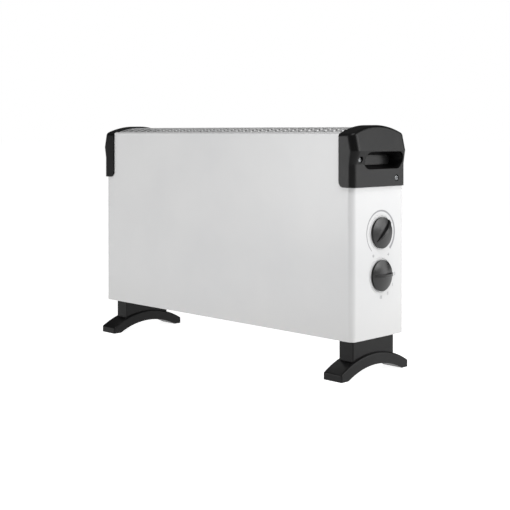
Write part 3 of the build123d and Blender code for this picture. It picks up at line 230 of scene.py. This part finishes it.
def black_plastic(name, tone, rough, shine, grain_scale, grain_depth):
    plastic = Finish(name)
    cloud = plastic.noise(PLASTIC_CLOUDS, 4.0)
    grain = plastic.noise(grain_scale, 2.0, 0.6)
    rubbed = plastic.between(plastic.noise(PLASTIC_WEAR, 6.0, 0.65), 0.52, 0.72)
    low, high = [tuple(tone * share for share in (f, f, f * BLUE_LIFT))
                 for f in (DARK_SHARE, LIGHT_SHARE)]
    plastic.set(Base_Color=plastic.ramp(cloud, (0.3, low), (0.7, high)),
                Roughness=rough + cloud * 0.08 - rubbed * 0.06)
    plastic.shader.inputs["Specular IOR Level"].default_value = shine
    plastic.bump(grain, grain_depth, 0.5)
    return plastic.material


MOULDED = black_plastic("moulded_black", tone=0.003, rough=0.30, shine=0.17,
                        grain_scale=2300.0, grain_depth=0.00003)
KNOB_BLACK = black_plastic("knob_black", tone=0.005, rough=0.28, shine=0.42,
                           grain_scale=4200.0, grain_depth=0.00002)
print("made", MOULDED.name, "and", KNOB_BLACK.name)


# %% [markdown]
# The screws are zinc plated: grey, slightly bluish and faintly mottled. The sheet inside is galvanised,
# which crystallises into patches called spangle. A Voronoi pattern gives each patch its own tone and
# gloss. Extruded aluminium fins carry fine lines along their length, from the die.

# %% Metals
FINE_GRAIN = 0.00002                # bump depths in metres
LINE_GRAIN = 0.00003
LINE_STRETCH = (0.01, 1.0, 1.0)     # noise a hundred times longer along X
SPANGLE_SCALE = 130.0


def plated_steel():
    steel = Finish("bright_steel")
    mottle = steel.noise(700.0, 3.0)
    steel.set(Base_Color=steel.ramp(mottle, (0.3, (0.15, 0.155, 0.16)), (0.7, (0.22, 0.225, 0.23))),
              Roughness=0.40 + mottle * 0.16, Metallic=1.0)
    steel.bump(steel.noise(5000.0, 2.0), FINE_GRAIN, 0.4)
    return steel.material


def galvanised():
    zinc = Finish("galvanised_steel")
    cell = zinc.node("ShaderNodeTexVoronoi", {"feature": "F1"},
                     {"Vector": zinc.place, "Scale": SPANGLE_SCALE}, "Color")
    tone = zinc.node("ShaderNodeSeparateColor", {}, {"Color": cell}, "Red")
    zinc.set(Base_Color=zinc.ramp(tone, (0.0, (0.50, 0.51, 0.52)), (1.0, (0.70, 0.71, 0.72))),
             Roughness=0.30 + tone * 0.22, Metallic=1.0)
    zinc.bump(zinc.noise(900.0), FINE_GRAIN, 0.4)
    return zinc.material


def drawn_metal(name, low, high, rough, scale):
    """Metal with fine lines along X, as drawing or extruding leaves them."""
    metal = Finish(name)
    lines = metal.noise(scale, 3.0, 0.6, metal.stretched(LINE_STRETCH))
    metal.set(Base_Color=metal.ramp(lines, (0.3, low), (0.7, high)),
              Roughness=rough + lines * 0.15, Metallic=1.0)
    metal.bump(lines, LINE_GRAIN, 0.4)
    return metal.material


SCREW_STEEL = plated_steel()
ZINC = galvanised()
FIN_METAL = drawn_metal("fin_aluminium", low=(0.72, 0.73, 0.74), high=(0.86, 0.87, 0.88),
                        rough=0.26, scale=900.0)
SHEATH = drawn_metal("sheath_steel", low=(0.26, 0.22, 0.19), high=(0.44, 0.40, 0.36),
                     rough=0.30, scale=1200.0)
BRASS = drawn_metal("brass", low=(0.66, 0.48, 0.20), high=(0.82, 0.64, 0.30),
                    rough=0.24, scale=1600.0)
print("made five metals")


# %% [markdown]
# Inside there are also ceramic collars, a moulded terminal block, dark thermostat mouldings and insulated
# wires. They only show through the slots, but a close look or a cut-away finds them, so each gets its own
# tone and grain. The earth wire is striped green and yellow, with the stripe running round it.

# %% Insulators and wires
EARTH_GREEN, EARTH_YELLOW = (0.03, 0.26, 0.05), (0.72, 0.62, 0.05)
STRIPE_WAVES = (420.0, 800.0)       # radians per metre along Y and Z


def moulded(name, low, high, rough, scale, depth):
    body = Finish(name)
    mottle = body.noise(scale, 4.0)
    body.set(Base_Color=body.ramp(mottle, (0.3, low), (0.7, high)), Roughness=rough + mottle * 0.12)
    body.bump(mottle, depth, 0.4)
    return body.material


def earth_sleeve():
    sleeve = Finish("earth_sleeve")
    y, z = sleeve.split()[1:]
    patches = sleeve.noise(40.0)
    wave = sleeve.node("ShaderNodeMath", {"operation": "SINE"},
                       {0: y * STRIPE_WAVES[0] + z * STRIPE_WAVES[1]})
    stripe = sleeve.between(patches + wave * 0.5, 0.55, 0.62)
    sleeve.set(Base_Color=sleeve.blend(stripe, EARTH_GREEN, EARTH_YELLOW), Roughness=0.42)
    sleeve.bump(sleeve.noise(1500.0), 0.00003, 0.3)
    return sleeve.material


CERAMIC = moulded("ceramic", low=(0.80, 0.78, 0.71), high=(0.90, 0.88, 0.82),
                  rough=0.55, scale=400.0, depth=0.00006)
NYLON = moulded("nylon", low=(0.78, 0.77, 0.70), high=(0.86, 0.85, 0.79),
                rough=0.38, scale=300.0, depth=0.00003)
PHENOLIC = moulded("phenolic", low=(0.030, 0.022, 0.018), high=(0.055, 0.042, 0.034),
                   rough=0.34, scale=500.0, depth=0.00003)
SLEEVE = moulded("lead_sleeve", low=(0.34, 0.09, 0.03), high=(0.44, 0.13, 0.05),
                 rough=0.44, scale=900.0, depth=0.00004)
EARTH_SLEEVE = earth_sleeve()
print("made the insulators")

# %% [markdown]
# The record gives each node a material slot, so the finishes are handed out by slot. The knobs and the
# cord inlet are moulded in a smoother tool than the caps. The CAD meshes themselves stay as they are.

# %% Dress the CAD nodes
FINISHES = {
    "white_paint": WHITE, "black_plastic": MOULDED, "bright_steel": SCREW_STEEL,
    "galvanised_steel": ZINC, "fin_aluminium": FIN_METAL, "sheath_steel": SHEATH, "ceramic": CERAMIC,
    "brass": BRASS, "phenolic": PHENOLIC, "nylon": NYLON, "lead_sleeve": SLEEVE,
    "earth_sleeve": EARTH_SLEEVE,
}
SMOOTH_NODES = ("thermostat_knob", "selector_knob", "cord_gland", "gland_nut")

for part in frame["record"]["subparts"]:
    node = frame["nodes"][part["node"]]
    material = KNOB_BLACK if part["node"] in SMOOTH_NODES else FINISHES[part["material_slot"]]
    if node.material_slots:
        for slot in node.material_slots:
            slot.material = material
    else:
        node.data.materials.append(material)
print("dressed", len(frame["nodes"]), "nodes")


# %% [markdown]
# The marks on the right end are pad printed in grey ink. Ink has a thickness, a few hundredths of a
# millimetre, and here each mark is a thin closed slab that stands on the paint. Short bars repeat in
# several of the marks, so one Geometry Nodes tree sets a bar on every point that it is given and turns it
# to the point's own direction.

# %% A tree builder and a bar for printed marks
class Tree:
    """A Geometry Nodes tree with named inputs."""

    def __init__(self, name, **inputs):
        self.group = bpy.data.node_groups.new(name, "GeometryNodeTree")
        sockets = self.group.interface
        sockets.new_socket("Geometry", in_out="INPUT", socket_type="NodeSocketGeometry")
        sockets.new_socket("Geometry", in_out="OUTPUT", socket_type="NodeSocketGeometry")
        self.sockets = {}
        for label, kind in inputs.items():
            made = sockets.new_socket(label, in_out="INPUT", socket_type=kind)
            self.sockets[label] = made.identifier
        self.given = self.group.nodes.new("NodeGroupInput").outputs
        self.end = self.group.nodes.new("NodeGroupOutput").inputs[0]

    def node(self, kind, settings, inputs):
        made = self.group.nodes.new(kind)
        for name, value in settings.items():
            setattr(made, name, value)
        for name, value in inputs.items():
            if isinstance(value, bpy.types.NodeSocket):
                self.group.links.new(value, made.inputs[name])
            else:
                made.inputs[name].default_value = value
        return made.outputs[0]

    def close(self, geometry):
        """Ends the tree in real geometry with its material."""
        real = self.node("GeometryNodeRealizeInstances", {}, {"Geometry": geometry})
        dressed = self.node("GeometryNodeSetMaterial", {},
                            {"Geometry": real, "Material": self.given["Material"]})
        self.group.links.new(dressed, self.end)
        return self

    def apply(self, name, mesh, **values):
        """Runs the tree on a mesh and returns a plain object."""
        carrier = bpy.data.objects.new(name + "_carrier", mesh)
        bpy.context.scene.collection.objects.link(carrier)
        modifier = carrier.modifiers.new("tree", "NODES")
        modifier.node_group = self.group
        for label, value in values.items():
            modifier[self.sockets[label]] = value
        made = bpy.data.meshes.new_from_object(
            carrier.evaluated_get(bpy.context.evaluated_depsgraph_get()))
        made.name = name
        bpy.data.objects.remove(carrier)
        piece = bpy.data.objects.new(name, made)
        bpy.context.scene.collection.objects.link(piece)
        return piece


def point_mesh(name, points, edges=()):
    mesh = bpy.data.meshes.new(name)
    mesh.from_pydata([tuple(p) for p in points], edges, [])
    return mesh


def bar_tree():
    tree = Tree("bars_on_points", Length="NodeSocketFloat", Width="NodeSocketFloat",
                Height="NodeSocketFloat", Material="NodeSocketMaterial")
    size = tree.node("ShaderNodeCombineXYZ", {},
                     {"X": tree.given["Height"], "Y": tree.given["Width"], "Z": tree.given["Length"]})
    bar = tree.node("GeometryNodeMeshCube", {}, {"Size": size})
    lean = tree.node("GeometryNodeInputNamedAttribute", {"data_type": "FLOAT"}, {"Name": "lean"})
    turn = tree.node("ShaderNodeCombineXYZ", {}, {"X": lean})
    placed = tree.node("GeometryNodeInstanceOnPoints", {},
                       {"Points": tree.given["Geometry"], "Instance": bar, "Rotation": turn})
    return tree.close(placed)


BARS = bar_tree()
print("made the bar tree")


# %% [markdown]
# Seen from outside, an angle on the dial is measured from the back of the heater (+Y) and grows upwards.
# The selector has the figures 0, I, II and III beside its knob. The thermostat has one long arc that
# swells from a thin line at the cool end to a broad band at the warm end, with a frost star beyond its
# start and a plus sign beyond its end.

# %% Printed marks
INK_DARK, INK_LIGHT = (0.20, 0.20, 0.21), (0.26, 0.26, 0.27)
INK_HEIGHT = 0.06 * MM
INK_SUNK = 0.02 * MM
BAR_MIDDLE = INK_HEIGHT / 2 - INK_SUNK
END_X = 0.265
KNOB_Y = 0.002
THERMO_Z = 0.1925
SELECT_Z = 0.1347

NUMERAL_R = 29.5 * MM
NUMERALS = ((-30, 1), (-60, 2), (-90, 3))    # degrees on the dial, and how many bars
NUMERAL_GAP = 1.7 * MM
SYMBOL_R = 34.5 * MM
STAR_AT, STAR_LEANS = 242, (0, 60, 120)      # degrees
PLUS_AT, PLUS_LEANS = -62, (0, 90)


def printing_ink():
    ink = Finish("printing_ink")
    patch = ink.noise(1800.0, 3.0)
    ink.set(Base_Color=ink.ramp(patch, (0.3, INK_DARK), (0.7, INK_LIGHT)), Roughness=0.46)
    ink.bump(patch, 0.00001, 0.3)
    return ink.material


INK = printing_ink()


def on_dial(centre_z, radius, degrees, lift):
    angle = math.radians(degrees)
    return Vector((END_X + lift, KNOB_Y + radius * math.cos(angle), centre_z + radius * math.sin(angle)))


def bars(name, places, length, width):
    """Printed bars. Each place is (point, lean in degrees)."""
    mesh = point_mesh(name, [point for point, lean in places])
    attribute = mesh.attributes.new("lean", "FLOAT", "POINT")
    for item, (point, lean) in zip(attribute.data, places):
        item.value = math.radians(lean)
    piece = BARS.apply(name, mesh, Length=length, Width=width, Height=INK_HEIGHT, Material=INK)
    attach(piece, "housing")


def row_of_bars(degrees, count):
    """Places of the upright bars of one figure, side by side."""
    middle = on_dial(SELECT_Z, NUMERAL_R, degrees, BAR_MIDDLE)
    return [(middle + Vector((0, (i - (count - 1) / 2) * NUMERAL_GAP, 0)), 0.0) for i in range(count)]


def star_of_bars(degrees, leans):
    """Places of the crossed bars of one symbol."""
    middle = on_dial(THERMO_Z, SYMBOL_R, degrees, BAR_MIDDLE)
    return [(middle, lean) for lean in leans]


figures = [place for degrees, count in NUMERALS for place in row_of_bars(degrees, count)]
frost = star_of_bars(STAR_AT, STAR_LEANS)
warm = star_of_bars(PLUS_AT, PLUS_LEANS)
bars("selector_numerals", figures, length=4.4 * MM, width=0.75 * MM)
bars("frost_mark", frost, length=4.6 * MM, width=0.65 * MM)
bars("warm_mark", warm, length=4.2 * MM, width=0.9 * MM)
print("printed", len(figures) + len(frost) + len(warm), "bars")


# %% [markdown]
# The swelling arc and the figure 0 are closed bands. A band here is a row of quads between an inner and an
# outer line, given a floor and side walls so that the mesh is a proper solid.

# %% Printed arc and zero
ARC_START, ARC_END = 231.0, -49.0            # degrees
ARC_STEPS = 140
ARC_OUTER = 30.9 * MM
ARC_THIN, ARC_THICK = 1.0 * MM, 3.4 * MM
ZERO_R = 30.0 * MM
ZERO_HIGH, ZERO_WIDE, ZERO_LINE = 2.3 * MM, 1.5 * MM, 0.7 * MM
ZERO_STEPS = 32
SAME_POINT = 1e-7


def outwards(mesh):
    """Turns every face of a closed mesh outwards."""
    work = bmesh.new()
    work.from_mesh(mesh)
    bmesh.ops.remove_doubles(work, verts=work.verts, dist=SAME_POINT)
    bmesh.ops.recalc_face_normals(work, faces=work.faces)
    work.to_mesh(mesh)
    work.free()


def band(name, inner, outer, closed):
    """Thin slab between two lines of points, from just under the paint to the top of the ink."""
    count = len(inner)
    step = Vector((INK_HEIGHT, 0, 0))
    points = [*inner, *outer, *(p + step for p in inner), *(p + step for p in outer)]
    low_in, low_out, high_in, high_out = (line * count for line in range(4))
    faces = []
    for i in range(count if closed else count - 1):
        j = (i + 1) % count
        faces.append((high_in + i, high_in + j, high_out + j, high_out + i))
        faces.append((low_in + i, low_out + i, low_out + j, low_in + j))
        faces.append((low_in + i, low_in + j, high_in + j, high_in + i))
        faces.append((low_out + i, high_out + i, high_out + j, low_out + j))
    if not closed:
        last = count - 1
        faces.append((low_in, high_in, high_out, low_out))
        faces.append((low_in + last, low_out + last, high_out + last, high_in + last))
    mesh = bpy.data.meshes.new(name)
    mesh.from_pydata([tuple(p) for p in points], [], faces)
    mesh.materials.append(INK)
    outwards(mesh)
    piece = bpy.data.objects.new(name, mesh)
    bpy.context.scene.collection.objects.link(piece)
    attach(piece, "housing")


shares = [i / ARC_STEPS for i in range(ARC_STEPS + 1)]
turns = [ARC_START + (ARC_END - ARC_START) * s for s in shares]
widths = [ARC_THIN + (ARC_THICK - ARC_THIN) * s for s in shares]
band("thermostat_scale",
     inner=[on_dial(THERMO_Z, ARC_OUTER - w, t, -INK_SUNK) for t, w in zip(turns, widths)],
     outer=[on_dial(THERMO_Z, ARC_OUTER, t, -INK_SUNK) for t in turns], closed=False)

zero_middle = on_dial(SELECT_Z, ZERO_R, 0, -INK_SUNK)


def oval(high, wide):
    return [zero_middle + Vector((0, wide * math.cos(t), high * math.sin(t)))
            for t in (math.tau * i / ZERO_STEPS for i in range(ZERO_STEPS))]


band("selector_zero", inner=oval(ZERO_HIGH - ZERO_LINE, ZERO_WIDE - ZERO_LINE),
     outer=oval(ZERO_HIGH, ZERO_WIDE), closed=True)
print("printed the arc over", ARC_START - ARC_END, "degrees")

# %% [markdown]
# The mouth of each finger pocket is rolled, so that it is kind to the fingers. The roll follows the
# pocket's outline, and its upper half climbs with the hood. A second tree sweeps a small circle along any
# closed loop of edges.

# %% Rolled rims of the finger pockets
POCKET_Y, POCKET_Z = 0.0037, 0.2907
POCKET_HALF, POCKET_R = 29.25 * MM, 12.0 * MM
CAP_FACE_X = 0.268
HOOD_START_Z, HOOD_LIP_Z, HOOD_OUT = 0.2855, 0.3035, 5.0 * MM
RIM_R = 0.7 * MM
RIM_SIDES = 12
RIM_CLEAR = 0.25 * MM               # how far the rim's middle line is outside the pocket
RIM_SUNK = 0.55 * MM                # and how far it is under the face
END_STEPS = 24                      # along each rounded end


def sweep_tree():
    tree = Tree("roll_along_loop", Radius="NodeSocketFloat", Material="NodeSocketMaterial")
    loop = tree.node("GeometryNodeMeshToCurve", {}, {"Mesh": tree.given["Geometry"]})
    ring = tree.node("GeometryNodeCurvePrimitiveCircle", {},
                     {"Radius": tree.given["Radius"], "Resolution": RIM_SIDES})
    swept = tree.node("GeometryNodeCurveToMesh", {}, {"Curve": loop, "Profile Curve": ring})
    smooth = tree.node("GeometryNodeSetShadeSmooth", {}, {"Geometry": swept})
    return tree.close(smooth)


def cap_face(z):
    """How far out the end face or the hood is at this height."""
    climb = max(0.0, min(1.0, (z - HOOD_START_Z) / (HOOD_LIP_Z - HOOD_START_Z)))
    return CAP_FACE_X + HOOD_OUT * climb


def pocket_outline(side):
    """Middle line of the rim: two half circles, joined by straight runs."""
    radius = POCKET_R + RIM_CLEAR
    points = []
    for middle, start in ((POCKET_HALF, -90), (-POCKET_HALF, 90)):
        for i in range(END_STEPS + 1):
            angle = math.radians(start + 180 * i / END_STEPS)
            z = POCKET_Z + radius * math.sin(angle)
            y = POCKET_Y + middle + radius * math.cos(angle)
            points.append(Vector((side * (cap_face(z) - RIM_SUNK), y, z)))
    return points


ROLL = sweep_tree()
for side, label in ((1, "right"), (-1, "left")):
    outline = pocket_outline(side)
    loop = [(i, (i + 1) % len(outline)) for i in range(len(outline))]
    rim = ROLL.apply(f"pocket_rim_{label}", point_mesh("rim", outline, loop),
                     Radius=RIM_R, Material=MOULDED)
    outwards(rim.data)
    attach(rim, "housing")
print("rolled two rims")

# %% [markdown]
# The floor is pale and glows, as a lit sweep of white paper does, so it runs into the white backdrop that
# the camera sees. The light is a studio's. A box on the left is mirrored in the front of the right cap,
# and one on the right in its end face. Two keys light the white front and end, and a box overhead lights
# the grille. The room is dim, which leaves the rounded corners and the crowns of the caps dark.

# %% Floor and light
FLOOR_SIZE = 60.0
FLOOR_DROP = 0.0002                 # keeps the floor just under the feet
FLOOR_DARK, FLOOR_PALE = (0.49, 0.49, 0.49), (0.51, 0.51, 0.51)
FLOOR_GLOW = 0.94
ROOM_DIM = 0.03
CEILING_GLOW = 0.2
CEILING_FALL = 2.0                  # how fast the glow fades towards eye level
BACKDROP = 1.0
LIGHT_AIM = (0, 0, 0.16)            # the middle of the heater


def floor_finish():
    pale = Finish("pale_floor")
    pale.set(Base_Color=pale.ramp(pale.noise(3.0), (0.3, FLOOR_DARK), (0.7, FLOOR_PALE)),
             Roughness=0.9, Emission_Color=(1.0, 1.0, 1.0), Emission_Strength=FLOOR_GLOW)
    return pale.material


def pale_floor():
    half = FLOOR_SIZE / 2
    corners = [(-half, -half, 0), (half, -half, 0), (half, half, 0), (-half, half, 0)]
    mesh = bpy.data.meshes.new("floor")
    mesh.from_pydata(corners, [], [(0, 1, 2, 3)])
    mesh.materials.append(floor_finish())
    floor = bpy.data.objects.new("floor", mesh)
    floor.location.z = -FLOOR_DROP
    bpy.context.scene.collection.objects.link(floor)


def studio_room():
    """World shader: a dim room with a faintly lit ceiling, which shows as a white backdrop."""
    world = bpy.data.worlds.new("studio")
    bpy.context.scene.world = world
    world.use_nodes = True
    tree = world.node_tree

    def node(kind, operation, *values):
        made = tree.nodes.new(kind)
        if operation:
            made.operation = operation
        for socket, value in zip(made.inputs, values):
            if isinstance(value, bpy.types.NodeSocket):
                tree.links.new(value, socket)
            elif value is not None:
                socket.default_value = value
        return made.outputs

    direction = node("ShaderNodeTexCoord", None)["Generated"]
    height = node("ShaderNodeSeparateXYZ", None, direction)["Z"]
    upward = node("ShaderNodeMath", "MAXIMUM", height, 0.0)[0]
    ceiling = node("ShaderNodeMath", "POWER", upward, CEILING_FALL)[0]
    light = node("ShaderNodeMath", "MULTIPLY_ADD", ceiling, CEILING_GLOW, ROOM_DIM)[0]
    seen = node("ShaderNodeLightPath", None)["Is Camera Ray"]
    strength = node("ShaderNodeMix", None, seen, None, light, BACKDROP)[0]
    background = tree.nodes["Background"]
    background.inputs["Color"].default_value = (1, 1, 1, 1)
    tree.links.new(strength, background.inputs["Strength"])


def soft_box(name, place, size, power):
    """Area light that looks at the middle of the heater."""
    data = bpy.data.lights.new(name, "AREA")
    data.shape = "RECTANGLE"
    data.size, data.size_y = size
    data.energy = power
    lamp = bpy.data.objects.new(name, data)
    lamp.location = place
    aim = Vector(LIGHT_AIM) - Vector(place)
    lamp.rotation_euler = aim.to_track_quat("-Z", "Y").to_euler()
    bpy.context.scene.collection.objects.link(lamp)


pale_floor()
studio_room()
soft_box("left_box", place=(-0.60, -1.07, 0.28), size=(0.30, 0.42), power=3.7)
soft_box("right_box", place=(0.97, 0.90, 0.42), size=(0.46, 0.80), power=3.5)
soft_box("front_key", place=(-0.30, -0.95, 0.95), size=(0.45, 0.45), power=1.3)
soft_box("end_key", place=(1.05, 0.35, 0.50), size=(0.45, 0.45), power=4.8)
soft_box("top_box", place=(0.75, -0.50, 1.35), size=(0.60, 0.40), power=11.0)
print("lit the room")
